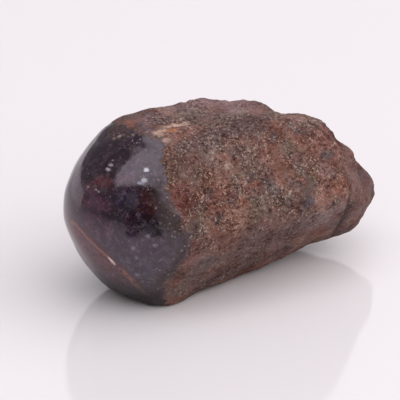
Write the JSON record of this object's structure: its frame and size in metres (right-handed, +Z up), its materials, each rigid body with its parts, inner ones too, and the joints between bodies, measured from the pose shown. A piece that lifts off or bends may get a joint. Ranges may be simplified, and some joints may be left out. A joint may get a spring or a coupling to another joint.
{
  "type": "ruby crystal stick",
  "caption": "Stubby tapering six-sided ruby crystal lying on a face, one end ground to a smooth dome and the other broken off to a blunt tip.",
  "frame": {"origin": "middle of the bounding box's bottom face, on the floor under the stone", "axes": "+Z up; X along the stone, with the ground dome toward -X and the broken tip toward +X; the front is toward -Y"},
  "size_m": [0.042, 0.0228, 0.0216],
  "materials": {
    "ruby_stone": "rough grainy brown skin, with one end ground and polished to a glossy dark purple dome"
  },
  "bodies": {
    "root": {"star_ruby_crystal": "ruby_stone"}
  },
  "joints": []
}
